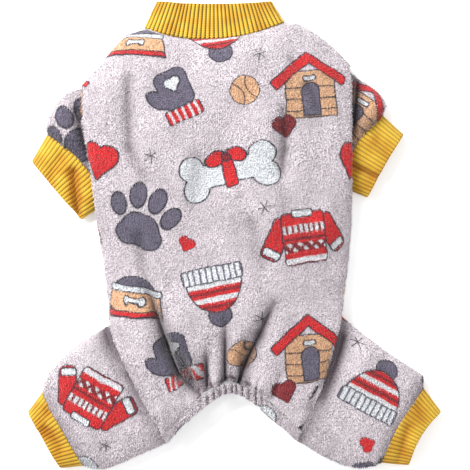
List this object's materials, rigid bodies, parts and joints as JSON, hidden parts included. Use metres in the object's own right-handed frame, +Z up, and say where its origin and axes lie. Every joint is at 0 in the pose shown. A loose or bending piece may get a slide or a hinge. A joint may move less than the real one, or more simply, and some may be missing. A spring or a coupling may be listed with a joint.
{
  "type": "dog jumpsuit",
  "caption": "Plush dog jumpsuit with a ribbed collar, short sleeves, hind legs with ribbed cuffs and a gathered tail hem, lying flat on its belly.",
  "frame": {"origin": "on the floor under the middle of the jumpsuit as it lies", "axes": "+Z up out of the back, +Y towards the neck, +X towards the side on the right with the neck up"},
  "size_m": [0.3324, 0.376, 0.03],
  "materials": {
    "plush_fleece": "brushed plush fleece, pale lilac grey with a printed pattern",
    "rib_knit": "ribbed knit, mustard yellow"
  },
  "bodies": {
    "root": {"back_panel": "plush_fleece", "belly_panel": "plush_fleece", "tail_hem": "plush_fleece", "sleeve_left": "plush_fleece", "sleeve_right": "plush_fleece", "leg_left": "plush_fleece", "leg_right": "plush_fleece", "neck_rib": "rib_knit", "sleeve_cuff_left": "rib_knit", "sleeve_cuff_right": "rib_knit", "leg_cuff_left": "rib_knit", "leg_cuff_right": "rib_knit"}
  },
  "joints": []
}
